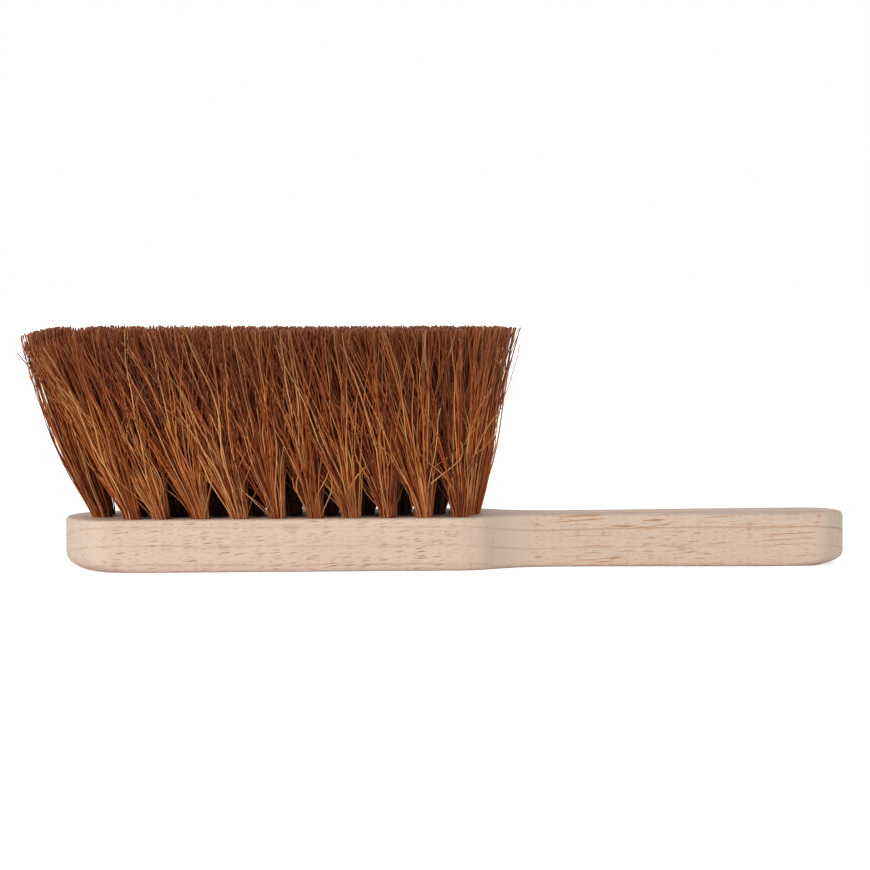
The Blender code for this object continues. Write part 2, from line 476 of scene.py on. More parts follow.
    def _handle(self, tree: Finish) -> Output:
        """Returns how far a point is onto the handle: 0 on the head, 1 on the handle."""
        apart = tree.add("SeparateXYZ", tree.place)
        return tree.add("MapRange", apart, self.handle_from, self.handle_to)

    def _openness(self, tree: Finish, handle: Output) -> Output:
        """Says how strongly the vessels show: in drifting clouds on the head, less on the handle.

        Args:
            tree: The material's tree.
            handle: How far a point is onto the handle.

        Returns:
            The vessels' strength.
        """
        least, most, on_handle = self.openness
        clouds = self._clouds(tree, tree.place, self.open_cloud, 1.0)
        on_head = tree.add("MapRange", clouds, 0.4, 0.6, least, most)
        return tree.add("MapRange", handle, 0.0, 1.0, on_head, on_handle)

    def _rings(self, tree: Finish, handle: Output) -> tuple[Output, Output]:
        """Gives a thin line where each year's growth ends, and the warmer band under them.

        Args:
            tree: The material's tree.
            handle: How far a point is onto the handle, where the lines show whole.

        Returns:
            The lines' strength, and the band's.
        """
        tilt = (0.0, self.ring_dip, 1.0)
        level = tree.add("VectorMath", tree.place, tilt, operation="DOT_PRODUCT")
        sizes = {"Vector": tree.place, "Scale": 1 / self.drift_length, "Detail": 1.0}
        drift = tree.add("TexNoise", inputs=sizes)
        swung = tree.add("Math", drift, self.ring_drift, level, operation="MULTIPLY_ADD")
        start = self.lowest_ring + self.ring_drift / 2
        years = tree.add("MapRange", swung, start, start + self.ring_pitch, clamp=False)
        year = tree.add("Math", years, operation="FRACT")
        edge = tree.add("ValToRGB", year)
        set_ramp(edge, self.ring_line)
        patches = self._clouds(tree, tree.place, self.worn_patch, 2.0)
        worn = tree.add("MapRange", patches, 0.35, 0.65, *self.line_wear)
        upper = tree.add("MapRange", swung, *self.whole_line_heights, 0.0, self.whole_line)
        whole = tree.add("Math", handle, upper, operation="MULTIPLY")
        kept = tree.add("Math", worn, whole, operation="MAXIMUM")
        lines = tree.add("Math", edge, kept, operation="MULTIPLY")
        apart = tree.add("SeparateXYZ", tree.place)
        limits = (self.handle_from, self.band_rise_to, 0.0, self.band_rise)
        risen = tree.add("MapRange", apart, *limits, interpolation_type="SMOOTHSTEP")
        sunk = tree.add("Math", swung, risen, operation="SUBTRACT")
        above, below = self.band_edge
        return lines, tree.add("MapRange", sunk, start + above, start + below)

    def _flush(self, tree: Finish, grain: Output) -> Output:
        """Returns the share of the broad soft clouds of warmer wood."""
        clouds = self._clouds(tree, grain, self.flush_cloud, 3.0)
        return tree.add("MapRange", clouds, 0.42, 0.7)

    def _dashes(self, tree: Finish, grain: Output, cell: Cell) -> Output:
        """Scatters soft-ended dashes along the grain, one in a cell.

        Args:
            tree: The material's tree.
            grain: The place along and across the grain.
            cell: The size of a cell, and the share of the cells that hold no dash.

        Returns:
            The dashes' strength.
        """
        space = self._squeezed(tree, grain, cell)
        cells = tree.add("TexVoronoi", inputs={"Vector": space, "Scale": 1.0})
        core = tree.add("MapRange", cells, 0.46, 0.18, interpolation_type="SMOOTHSTEP")
        lot = tree.add("SeparateColor", cells.outputs["Color"])
        kept = tree.add("MapRange", lot, cell.bare, 1.0)
        return tree.add("Math", core, kept, operation="MULTIPLY")

    def _streaks(self, tree: Finish, handle: Output) -> Output:
        """Gives the longer rusty streaks of the handle, which fade out towards the head.

        Args:
            tree: The material's tree.
            handle: How far a point is onto the handle.

        Returns:
            Their strength.
        """
        turn = (0.0, self.rust_rise, 0.0)
        moves = {"Vector": tree.place, "Location": self.rust_shift, "Rotation": turn}
        rising = tree.add("Mapping", inputs=moves)
        fibres = self._clouds(tree, rising, self.rust_cloud, 2.0, 0.55)
        long = tree.add("MapRange", fibres, 0.62, 0.71)
        short = self._dashes(tree, self._frayed(tree, rising, self.rust_fray), self.rust_cell)
        both = tree.add("Math", long, short, operation="MAXIMUM")
        faded = tree.add("MapRange", handle, 0.0, 1.0, self.head_rust)
        return tree.add("Math", both, faded, operation="MULTIPLY")

    def _turned(self, tree: Finish, limits: tuple[float, float]) -> Output:
        """Says how far the surface turns across the grain.

        Args:
            tree: The material's tree.
            limits: The sizes of the normal's X that give 0 and 1.

        Returns:
            A share from 0 to 1.
        """
        apart = tree.add("SeparateXYZ", tree.normal)
        size = tree.add("Math", apart, operation="ABSOLUTE")
        return tree.add("MapRange", size, *limits, interpolation_type="SMOOTHSTEP")

    def _end_specks(self, tree: Finish, across: Output) -> Output:
        """Speckles the wood with cut vessel ends where the surface crosses the grain.

        Args:
            tree: The material's tree.
            across: How far the surface crosses the grain.

        Returns:
            The specks' strength.
        """
        space = self._squeezed(tree, tree.place, self.speck_cell)
        cells = tree.add("TexVoronoi", inputs={"Vector": space, "Scale": 1.0})
        dots = tree.add("MapRange", cells, 0.4, 0.15)
        return tree.add("Math", dots, across, operation="MULTIPLY")

    def _mark(self, tree: Finish, mark: Mark) -> Output:
        """Places one mark on the head's front.

        Args:
            tree: The material's tree.
            mark: The mark.

        Returns:
            A share that is 1 in the middle of the mark and 0 away from it.
        """
        centre = (mark.x, self.front_y, mark.z)
        scale = (2 / mark.length, 2 / self.mark_depth, 2 / mark.height)
        offset = tree.add("VectorMath", tree.place, centre, operation="SUBTRACT")
        scaled = tree.add("VectorMath", offset, scale, operation="MULTIPLY")
        away = tree.add("VectorMath", scaled, operation="LENGTH")
        return tree.add("MapRange", away, 1.0, 0.3, interpolation_type="SMOOTHSTEP")


@dataclass(frozen=True)
class CoirFibre:
    """Brown coconut fibre, retted and combed, then cut.

    Each fibre has its own tone from dark brown to straw, with browner blotches along it and a waxy
    sheen. Painted shade darkens each fibre towards its root and at its cut end, and a darker
    painted shade lies over the fibres deep between the tufts.
    """

    name: str = "combed_brown_coir"
    # From the darkest fibres through brown and tan to straw
    tones: tuple[tuple[float, str], ...] = (
        (0.0, "#421403"),
        (0.36, "#A34914"),
        (0.7, "#D47732"),
        (0.97, "#EFB371"),
    )
    blotch: Tint = Tint("#702C0B", 0.5)
    # Painted shade: the fibres are drawn darker towards the root
    root: Tint = Tint("#702C0B", 0.36)
    # Painted shade: the fibres are drawn darker towards the cut end, where more light reaches them
    tip: Tint = Tint("#783E1C", 0.55)
    # Painted shade: a dark brown laid over the fibres low and deep between the rows
    painted_deep_shade: Tint = Tint("#1C0A04", 0.85)
    blotch_size: float = 9 * MM
    root_shade_end: float = 0.4
    tip_shade_start: float = 0.55
    roughness: float = 0.4
    # Where the painted shade deep in the field begins and where it is darkest, seen from each side and
    # the top
    shade_across: tuple[float, float] = (20.5 * MM, 15 * MM)
    shade_nose: tuple[float, float] = (-58 * MM, -52 * MM)
    shade_neck: tuple[float, float] = (75 * MM, 70 * MM)
    shade_down: tuple[float, float] = (84 * MM, 42 * MM)

    def make(self) -> bpy.types.Material:
        """Builds the material.

        Returns:
            The coir material, which reads each fibre's tone and how far along it a point is.
        """
        tree = Finish(self.name)
        tone = tree.add("Attribute", attribute_name="tone").outputs["Fac"]
        along = tree.add("Attribute", attribute_name="along").outputs["Fac"]
        sizes = {"Vector": tree.place, "Scale": 1 / self.blotch_size, "Detail": 3.0}
        clouds = tree.add("TexNoise", inputs=sizes)
        blotches = tree.add("MapRange", clouds, 0.45, 0.75)
        root_shade_share = tree.add("MapRange", along, self.root_shade_end, 0.0)
        tip_shade_share = tree.add("MapRange", along, self.tip_shade_start, 1.0)
        layers = (
            (blotches, self.blotch),
            # painted shade towards the root
            (root_shade_share, self.root),
            # painted shade at the cut ends
            (tip_shade_share, self.tip),
            # painted shade deep between the rows
            (self._deep_shade_share(tree), self.painted_deep_shade),
        )
        ramp = tree.add("ValToRGB", tone)
        set_ramp(ramp, self.tones)
        shader = tree.add(
            "BsdfPrincipled",
            inputs={
                "Base Color": lay_over(tree, ramp, layers),
                "Roughness": self.roughness,
                "IOR": 1.5,
                "Specular IOR Level": 0.4,
            },
        )
        return tree.end(shader)

    def _deep_shade_share(self, tree: Finish) -> Output:
        """Says how much painted shade a point gets, low and deep between the rows.

        Args:
            tree: The material's tree.

        Returns:
            A share from 0 to 1.
        """
        apart = tree.add("SeparateXYZ", tree.place).outputs
        across = tree.add("Math", apart["Y"], operation="ABSOLUTE")
        share = tree.add("MapRange", across, *self.shade_across)
        for value, limits in (
            (apart["X"], self.shade_nose),
            (apart["X"], self.shade_neck),
            (apart["Z"], self.shade_down),
        ):
            inside = tree.add("MapRange", value, *limits, interpolation_type="SMOOTHSTEP")
            share = tree.add("Math", share, inside, operation="MULTIPLY")
        return share


@dataclass(frozen=True)
class PaleFloor:
    """Matt white studio floor that the camera sees as white, with the brush's soft shadow."""

    name: str = "matt_white_studio_floor"
    colour: str = "#F2F2F2"
    near_lift: float = 0.62
    far_lift: float = 1.0
    near: float = 0.25
    far: float = 0.8

    def make(self) -> bpy.types.Material:
        """Builds the floor's material.

        Returns:
            The floor material.
        """
        tree = Finish(self.name)
        matt = tree.add("BsdfDiffuse", inputs={"Color": linear_from_hex(self.colour)})
        away = tree.add("VectorMath", tree.place, operation="LENGTH")
        limits = (self.near, self.far, self.near_lift, self.far_lift)
        lift = tree.add("MapRange", away, *limits, interpolation_type="SMOOTHSTEP")
        seen = tree.add("LightPath").outputs["Is Camera Ray"]
        strength = tree.add("Math", seen, lift, operation="MULTIPLY")
        glow = tree.add("Emission", inputs={"Strength": strength})
        both = tree.add("AddShader", matt, glow)
        return tree.end(both)


class RowSide(Enum):
    """The four rows of tufts, from the front edge to the back edge."""

    FRONT = "front_row"
    INNER_FRONT = "inner_front_row"
    INNER_BACK = "inner_back_row"
    BACK = "back_row"

    @property
    def across(self) -> float:
        """Where the row lies, as a share of the outer rows' distance from the middle."""
        shares = {
            RowSide.FRONT: -1.0,
            RowSide.INNER_FRONT: -1 / 3,
            RowSide.INNER_BACK: 1 / 3,
            RowSide.BACK: 1.0,
        }
        return shares[self]

    @property
    def is_outer(self) -> bool:
        """Whether the row runs along an edge of the head."""
        return self in (RowSide.FRONT, RowSide.BACK)


@dataclass(frozen=True)
class TuftLayout:
    """Where the tufts stand on the head."""

    hole_radius: float = 3.45 * MM
    outer_y: float = 18.75 * MM
    outer_first_x: float = -48.2 * MM
    outer_last_x: float = 72 * MM
    outer_count: int = 10
    outer_first_gap_share: float = 0.77
    pitch_ease: float = 1.7 * MM
    inner_first_x: float = -60.6 * MM
    inner_last_x: float = 75.7 * MM
    inner_count: int = 11

    def row(self, side: RowSide) -> Iterator[tuple[str, Vector]]:
        """Yields the node name and the centre of each tuft of a row.

        Args:
            side: Which row.

        Yields:
            A node's name and its hole's centre, seen from above.
        """
        if side.is_outer:
            count = self.outer_count
            first, last = self.outer_first_x, self.outer_last_x
            first_gap = self.outer_first_gap_share
        else:
            count = self.inner_count
            first, last = self.inner_first_x, self.inner_last_x
            first_gap = 1.0
        steps = count - 2
        pitch = (last - first) / (steps + first_gap)
        places = [first]
        for step in range(steps + 1):
            share = step / steps
            ease = 4 * self.pitch_ease * share * (1 - share)
            places.append(last - pitch * (steps - step) + ease)
        for number, x in enumerate(places, start=1):
            yield f"{side.value}_tuft_{number:02d}", Vector((x, side.across * self.outer_y))


@dataclass
class WoodenBlock:
    """The one-piece block: head, shoulder, neck and grip, with a blind hole for each tuft."""

    layout: TuftLayout
    nose_x: float = -75 * MM
    nose_depth: float = 19 * MM
    shoulder_x: float = 71 * MM
    shoulder_length: float = 36 * MM
    shoulder_crest: float = 12 * MM
    handle_length: float = 144 * MM
    head_width: float = 50 * MM
    neck_width: float = 24 * MM
    grip_width: float = 33 * MM
    grip_end_depth: float = 13 * MM
    grip_belly: float = 22 * MM
    thickness: float = 19.5 * MM
    head_top_edge: float = 1.3 * MM
    head_back_edge: float = 2 * MM
    handle_edge: float = 1.8 * MM
    undercut_height: float = 6.5 * MM
    undercut_reach: float = 10 * MM
    undercut_length: float = 30 * MM
    end_undercut_height: float = 4.6 * MM
    end_undercut_reach: float = 10 * MM
    end_undercut_length: float = 18 * MM
    hole_floor: float = 5.5 * MM
    hole_sides: int = 28
    nose_steps: int = 26
    crest_steps: int = 10
    hollow_steps: int = 18
    grip_end_steps: int = 22
    edge_steps: int = 8
    head_facet: float = 4.8 * MM
    grip_facet: float = 3.2 * MM
    sharp_angle: float = math.radians(40)

    @property
    def end_x(self) -> float:
        """Where the grip ends."""
        return self.shoulder_x + self.handle_length

    def build(self, wood: bpy.types.Material) -> bpy.types.Object:
        """Lofts the block, drills it and gives it its finish.

        Args:
            wood: The block's material.

        Returns:
            The finished block.
        """
        shape = bmesh.new()
        self._loft(shape, self._rings())
        bmesh.ops.recalc_face_normals(shape, faces=shape.faces)
        block = new_object("drilled_rubberwood_block", new_mesh("block", shape))
        drill = self._drill()
        holes = block.modifiers.new("tuft_holes", "BOOLEAN")
        holes.operation = "DIFFERENCE"
        holes.object = drill
        drilled = keep_result(block)
        bpy.data.objects.remove(drill, do_unlink=True)
        drilled.materials.clear()
        drilled.materials.append(wood)
        drilled.shade_smooth()
        drilled.set_sharp_from_angle(angle=self.sharp_angle)
        return block

    def _side(self) -> Iterator[tuple[float, float]]:
        """Walks along one side.

        Yields:
            The X and Y of its points, from the nose's tip to the end of the grip.
        """
        half = self.head_width / 2
        for turn in sweep(math.pi / 2, self.nose_steps):
            yield self.nose_x + self.nose_depth * (1 - math.cos(turn)), half * math.sin(turn)
        start = self.nose_x + self.nose_depth
        count = round((self.shoulder_x - start) / self.head_facet)
        for step in range(1, count):
            yield start + (self.shoulder_x - start) * step / count, half
        yield from self._shoulder()
        start = self.shoulder_x + self.shoulder_length
        belly = self.end_x - self.grip_belly
        swell = (self.grip_width - self.neck_width) / 2
        count = round((belly - start) / self.grip_facet)
        for step in range(1, count + 1):
            share = step / count
            yield start + (belly - start) * share, self.neck_width / 2 + swell * smooth_step(share)
        for turn in sweep(math.pi / 2, self.grip_end_steps):
            x = self.end_x - self.grip_end_depth * (1 - math.sin(turn))
            yield x, self.grip_width / 2 * math.cos(turn)

    def _shoulder(self) -> Iterator[tuple[float, float]]:
        """Walks along the shoulder: a convex crest, then a longer hollow.

        Yields:
            The X and Y of its points.
        """
        drop = (self.head_width - self.neck_width) / 2
        turn = 2 * math.atan2(drop, self.shoulder_length)
        radii = self.shoulder_length / math.sin(turn)
        crest = radii * self.shoulder_crest / self.shoulder_length
        hollow = radii - crest
        for angle in sweep(turn, self.crest_steps):
            x = self.shoulder_x + crest * math.sin(angle)
            yield x, self.head_width / 2 - crest * (1 - math.cos(angle))
        for step in range(1, self.hollow_steps + 1):
            angle = turn * (1 - step / self.hollow_steps)
            x = self.shoulder_x + self.shoulder_length - hollow * math.sin(angle)
            yield x, self.neck_width / 2 + hollow * (1 - math.cos(angle))

    def _outline(self) -> list[tuple[Vector, Vector]]:
        """Closes the outline with its other side.

        Returns:
            Its points, each with its outward normal.
        """
        side = list(self._side())
        mirrored = [(x, -y) for x, y in reversed(side[1:-1])]
        ring = [Vector(point) for point in side + mirrored]
        pairs = []
        for index, point in enumerate(ring):
            along = ring[(index + 1) % len(ring)] - ring[index - 1]
            along.normalize()
            pairs.append((point, Vector((-along.y, along.x))))
        return pairs

    def _edges(self, x: float) -> Triple:
        """Says how the edges are rounded: more at the lifted nose and grip end than between.

        Args:
            x: Where along the block.

        Returns:
            The top edge's radius, and the back edge's reach and height.
        """
        nose = 1 - smooth_step((x - self.nose_x) / self.undercut_length)
        handle = smooth_step((x - self.shoulder_x) / self.shoulder_length)
        top = self.head_top_edge + (self.handle_edge - self.head_top_edge) * handle
        back = self.head_back_edge + (self.handle_edge - self.head_back_edge) * handle
        end = smooth_step((x - self.end_x) / self.end_undercut_length + 1)
        reach = back + (self.undercut_reach - back) * nose
        reach += (self.end_undercut_reach - back) * end
        height = back + (self.undercut_height - back) * nose
        height += (self.end_undercut_height - back) * end
        return top, reach, height

    def _rings(self) -> list[list[Vector]]:
        """Rounds the outline over both edges.

        Returns:
            Rings of points from the flat back up to the flat top.
        """
        outline = self._outline()
        back_rings = []
        top_rings = []
        for turn in sweep(math.pi / 2, self.edge_steps):
            fast, slow = 1 - math.sin(turn), 1 - math.cos(turn)
            back_ring = []
            top_ring = []
            for point, normal in outline:
                top, reach, height = self._edges(point.x)
                back_ring.append(Vector((*(point - normal * reach * fast), height * slow)))
                top_z = self.thickness - top * fast
                top_ring.append(Vector((*(point - normal * top * slow), top_z)))
            back_rings.append(back_ring)
            top_rings.append(top_ring)
        return back_rings + top_rings

    def _loft(self, shape: bmesh.types.BMesh, rings: list[list[Vector]]) -> None:
        """Skins a stack of rings and caps its ends.

        Args:
            shape: The shape that gets the skin.
            rings: The rings of points, from the lowest to the highest.
        """
        skins = [[shape.verts.new(point) for point in ring] for ring in rings]
        for low, high in zip(skins, skins[1:]):
            for index in range(len(low)):
                after = (index + 1) % len(low)
                shape.faces.new((low[index], low[after], high[after], high[index]))
        shape.faces.new(reversed(skins[0]))
        shape.faces.new(skins[-1])

    def _drill(self) -> bpy.types.Object:
        """Makes a helper that holds one cylinder for each blind hole.

        Returns:
            The helper, which is removed once the holes are cut.
        """
        shape = bmesh.new()
        radius = self.layout.hole_radius
        turns = sweep(math.tau, self.hole_sides)[:-1]
        for side in RowSide:
            for _, centre in self.layout.row(side):
                circle = [
                    (centre.x + radius * math.cos(turn), centre.y + radius * math.sin(turn))
                    for turn in turns
                ]
                ends = (self.hole_floor, 2 * self.thickness)
                self._loft(shape, [[Vector((*point, z)) for point in circle] for z in ends])
        bmesh.ops.recalc_face_normals(shape, faces=shape.faces)
        return new_object("drill", new_mesh("drill", shape))


class FibreTree(Tree):
    """A Geometry Nodes tree that grows one tuft of fibres from a hole.

    Every fibre starts on a disc in the hole, fans and leans out as it rises, curls a little and
    ends where the brush is trimmed. Some are broken short, and a few thin ones stray far.
    """

    INPUTS = {
        "NodeSocketInt": ("Fibres", "Seed", "Stations", "Sides"),
        "NodeSocketVector": ("Root", "Lean", "Fan", "Loose"),
        "NodeSocketFloat": (
            *("Fibre radius", "Root radius", "Sunk", "Height", "Length", "Ragged", "Short share"),
            *("Fan power", "Lock", "Bend", "Curl", "Crimp"),
            *("Stray share", "Stray reach", "Stray curl"),
        ),
        "NodeSocketMaterial": ("Finish",),
    }
    # Steps that keep the draws of one tuft, its locks and its fibres' waves apart
    DRAW_STEP = 1000.0
    LOCK_STEP = 3.7
    WAVE_STEP = 5.17
    # The most of its length that a broken fibre lacks, and that a stray one lacks
    BROKEN_LOSS = 0.5
    STRAY_LOSS = 0.6
    # A fibre runs straight in its hole and is free above this share of its length
    FREE_FROM = 0.03
    STRAY_POWER = 1.45
    LOCKS_SCALE = 2.4
    # This share of the fibres ends below the trim, and the rest a little above it
    TRIM_BIAS = 0.7
    # A slow curl and a fine crimp, in swings along a fibre, and how far both swing across
    CURL_PACE = 1.7
    CRIMP_PACE = 11.0
    SWING = (0.5, 0.17, 0.0)
    WAVES_FROM = 0.02
    WAVES_FULL = 0.35
    # A fibre's thickness as a share of its radius: thinnest and thickest, at root and tip, stray
    THICKNESS = (0.8, 1.8)
    TAPER = (1.1, 0.75)
    STRAY_THICKNESS = 0.74
    STRAY_TONE = 0.8

    def __init__(self, name: str = "coir_tuft") -> None:
        """Builds the tree.

        Args:
            name: The node group's name.
        """
        super().__init__(bpy.data.node_groups.new(name, "GeometryNodeTree"))
        interface = self.tree.interface
        interface.new_socket("Geometry", in_out="INPUT", socket_type="NodeSocketGeometry")
        for kind, labels in self.INPUTS.items():
            for label in labels:
                interface.new_socket(label, in_out="INPUT", socket_type=kind)
        interface.new_socket("Geometry", in_out="OUTPUT", socket_type="NodeSocketGeometry")
        self.given = self.add("GroupInput").outputs
        self._start()
        self._bend()
        self._skin()

    def _start(self) -> None:
        """Makes one straight line for each fibre, and draws the fibres' own numbers."""
        line = self.add("CurvePrimitiveLine", inputs={"End": (0.0, 0.0, 1.0)})
        fine = self.add("ResampleCurve", inputs={"Curve": line, "Count": self.given["Stations"]})
        copies = {"Geometry": fine, "Amount": self.given["Fibres"]}
        self.lines = self.add("DuplicateElements", inputs=copies, domain="SPLINE")
        self.fibre = self.lines.outputs["Duplicate Index"]
        self.along = self.add("SplineParameter").outputs["Factor"]
        lots = []
        for number, lowest in enumerate((0.0, 0.0, -1.0), start=1):
            step = self.DRAW_STEP * number
            seed = self.add("Math", self.given["Seed"], step, operation="ADD")
            draw = {"Min": (lowest, lowest, lowest), "ID": self.fibre, "Seed": seed}
            lots.append(self.add("RandomValue", inputs=draw, data_type="FLOAT_VECTOR"))
        self.root_lot = self.add("SeparateXYZ", lots[0]).outputs
        self.look_lot = self.add("SeparateXYZ", lots[1]).outputs
        self.loose_lot = lots[2]
        lot, most = self.root_lot["Z"], self.given["Stray share"]
        self.stray = self.add("Math", lot, most, operation="LESS_THAN")

    def _bend(self) -> None:
        """Moves every line's points onto its fibre's path."""
        add = self.add
        given = self.given
        reach = add("Math", self.root_lot["X"], operation="SQRT")
        turn = add("Math", self.root_lot["Y"], math.tau, operation="MULTIPLY")
        spoke = add("CombineXYZ", inputs={"X": reach})
        self.disc = add("VectorRotate", inputs={"Vector": spoke, "Angle": turn}, rotation_type="Z_AXIS")
        grown = self._grown()
        free = add("MapRange", grown, self.FREE_FROM, 1.0)
        locked, loose = self._fan()
        fanning = add("Math", free, given["Fan power"], operation="POWER")
        straying = add("Math", free, self.STRAY_POWER, operation="POWER")
        left = add("Math", 1.0, grown, operation="SUBTRACT")
        bow = add("Math", left, given["Bend"], 1.0, operation="MULTIPLY_ADD")
        leaning = add("Math", free, bow, operation="MULTIPLY")
        tip = add("VectorMath", locked, loose, operation="ADD")
        height = add("Math", self._rise(tip), given["Sunk"], operation="ADD")
        gained = add("Math", grown, height, operation="MULTIPLY")
        level = add("Math", gained, given["Sunk"], operation="SUBTRACT")
        radius, root = given["Root radius"], given["Root"]
        place = add("VectorMath", self.disc, radius, root, operation="MULTIPLY_ADD")
        parts = [
            add("VectorMath", way, inputs={"Scale": share}, operation="SCALE")
            for way, share in ((locked, fanning), (loose, straying), (given["Lean"], leaning))
        ]
        parts += [add("CombineXYZ", inputs={"Z": level}), self._wave(grown)]
        for part in parts:
            place = add("VectorMath", place, part, operation="ADD")
        self.placed = add("SetPosition", inputs={"Geometry": self.lines, "Position": place})

    def _grown(self) -> Output:
        """Says how far up its full path each point is; broken and stray fibres stop early.

        Returns:
            A share from 0 to 1.
        """
        add = self.add
        lots = self.look_lot
        is_short = add("Math", lots["X"], self.given["Short share"], operation="LESS_THAN")
        losses = []
        for is_so, lot, most in (
            (is_short, self.root_lot["Z"], self.BROKEN_LOSS),
            (self.stray, lots["Y"], self.STRAY_LOSS),
        ):
            loss = add("Math", lot, most, operation="MULTIPLY")
            losses.append(add("Math", is_so, loss, operation="MULTIPLY"))
        lost = add("Math", *losses, operation="MAXIMUM")
        share = add("Math", 1.0, lost, operation="SUBTRACT")
        return add("Math", self.along, share, operation="MULTIPLY")

    def _fan(self) -> tuple[Output, Output]:
        """Says how far each fibre's tip stands from its tuft's leaning middle.

        Returns:
            Its lock's share of that as a level vector, and the fibre's own share.
        """
        add = self.add
        given = self.given
        salt = add("Math", given["Seed"], self.LOCK_STEP, operation="MULTIPLY")
        sizes = {"Vector": self.disc, "W": salt, "Scale": self.LOCKS_SCALE, "Detail": 1.0}
        noise = add("TexNoise", inputs=sizes, noise_dimensions="4D").outputs["Color"]
        limits = {"Vector": noise, "To Min": (-0.5, -0.5, -0.5), "To Max": (0.5, 0.5, 0.5)}
        locks = add("MapRange", inputs=limits, data_type="FLOAT_VECTOR").outputs["Vector"]
        even = add("VectorMath", self.disc, given["Fan"], operation="MULTIPLY")
        locked = add("VectorMath", locks, given["Lock"], even, operation="MULTIPLY_ADD")
        flat = (1.0, 1.0, 0.0)
        level = add("VectorMath", locked, flat, operation="MULTIPLY")
        gain = add("MapRange", self.stray, 0.0, 1.0, 1.0, given["Stray reach"])
        wide = add("CombineXYZ", inputs={"X": gain, "Y": 1.0})
        room = add("VectorMath", wide, given["Loose"], operation="MULTIPLY")
        loose = add("VectorMath", self.loose_lot, room, operation="MULTIPLY")
        return level, loose

    def _rise(self, reach: Output) -> Output:
        """Says how high each tip stands: as trimmed, or lower where the fibre leans far.

        Args:
            reach: Each tip's distance from its tuft's leaning middle.

        Returns:
            The height over the block.
        """
        add = self.add
        given = self.given
        tip = add("VectorMath", reach, given["Lean"], operation="ADD")
        away = add("VectorMath", tip, tip, operation="DOT_PRODUCT")
        whole = add("Math", given["Length"], 2.0, operation="POWER")
        rest = add("Math", whole, away, operation="SUBTRACT")
        free = add("Math", rest, operation="SQRT")
        cut = add("Math", given["Height"], free, operation="MINIMUM")
        uneven = add("Math", self.look_lot["Y"], self.TRIM_BIAS, operation="SUBTRACT")
        return add("Math", uneven, given["Ragged"], cut, operation="MULTIPLY_ADD")

    def _wave(self, grown: Output) -> Output:
        """Gives the slow curl and the fine crimp of each fibre, both nothing at its root.

        Args:
            grown: How far up its path each point is.

        Returns:
            A level offset.
        """
        add = self.add
        given = self.given
        own = add("Math", self.fibre, given["Seed"], operation="ADD")
        salt = add("Math", own, self.WAVE_STEP, operation="MULTIPLY")
        walk = add("CombineXYZ", inputs={"X": grown})
        gain = add("MapRange", self.stray, 0.0, 1.0, 1.0, given["Stray curl"])
        curl = add("Math", given["Curl"], gain, operation="MULTIPLY")
        lowest = tuple(-size for size in self.SWING)
        swings = []
        for depth, pace in ((curl, self.CURL_PACE), (given["Crimp"], self.CRIMP_PACE)):
            sizes = {"Vector": walk, "W": salt, "Scale": pace, "Detail": 1.0}
            noise = add("TexNoise", inputs=sizes, noise_dimensions="4D").outputs["Color"]
            limits = {"Vector": noise, "To Min": lowest, "To Max": self.SWING}
            level = add("MapRange", inputs=limits, data_type="FLOAT_VECTOR").outputs["Vector"]
            swings.append(add("VectorMath", level, inputs={"Scale": depth}, operation="SCALE"))
        total = add("VectorMath", *swings, operation="ADD")
        held = add("MapRange", grown, self.WAVES_FROM, self.WAVES_FULL)
        return add("VectorMath", total, inputs={"Scale": held}, operation="SCALE")

    def _skin(self) -> None:
        """Gives the fibres their thickness, tone and finish, and ends the tree."""
        add = self.add
        look = self.look_lot
        thick = add("Math", look["Y"], 2.0, operation="POWER")
        radius = self.given["Fibre radius"]
        for value, (low, high) in (
            (self.stray, (1.0, self.STRAY_THICKNESS)),
            (thick, self.THICKNESS),
            (self.along, self.TAPER),
        ):
            factor = add("MapRange", value, 0.0, 1.0, low, high)
            radius = add("Math", radius, factor, operation="MULTIPLY")
        paler = add("Math", self.stray, self.STRAY_TONE, operation="MULTIPLY")
        tone = add("Math", look["Z"], paler, operation="MAXIMUM")
        curves = self.placed
        for name, value in (("tone", tone), ("along", self.along)):
            stored = {"Geometry": curves, "Name": name, "Value": value}
            curves = add("StoreNamedAttribute", inputs=stored, data_type="FLOAT", domain="POINT")
        sizes = {"Resolution": self.given["Sides"], "Radius": 1.0}
        profile = add("CurvePrimitiveCircle", inputs=sizes)
        skin = {"Curve": curves, "Profile Curve": profile, "Scale": radius, "Fill Caps": True}
        tubes = add("CurveToMesh", inputs=skin)
        smooth = add("SetShadeSmooth", tubes)
        real = add("RealizeInstances", smooth)
        dressed = add("SetMaterial", inputs={"Geometry": real, "Material": self.given["Finish"]})
        add("GroupOutput", dressed)

    def grow(self, name: str, values: dict[str, object]) -> bpy.types.Object:
        """Grows one tuft and keeps it as a plain mesh.

        Args:
            name: The new object's name.
            values: A value for each of the tree's inputs.

        Returns:
            The tuft, a plain mesh at the origin.
        """
        seedbed = new_object(name, bpy.data.meshes.new(name))
        growth = seedbed.modifiers.new("growth", "NODES")
        growth.node_group = self.tree
        for item in self.tree.interface.items_tree:
            if item.item_type == "SOCKET" and item.in_out == "INPUT" and item.name in values:
                growth[item.identifier] = values[item.name]
        keep_result(seedbed)
        return seedbed


@dataclass(frozen=True)
class Combing:
    """How the fibres of one kind of row run, and how far from its ends they run freely."""

    lean: float
    lean_per_length: float
    end_flare: float
    fan_power: float
    nose_bend: float
    nose_margin: float
    neck_margin: float


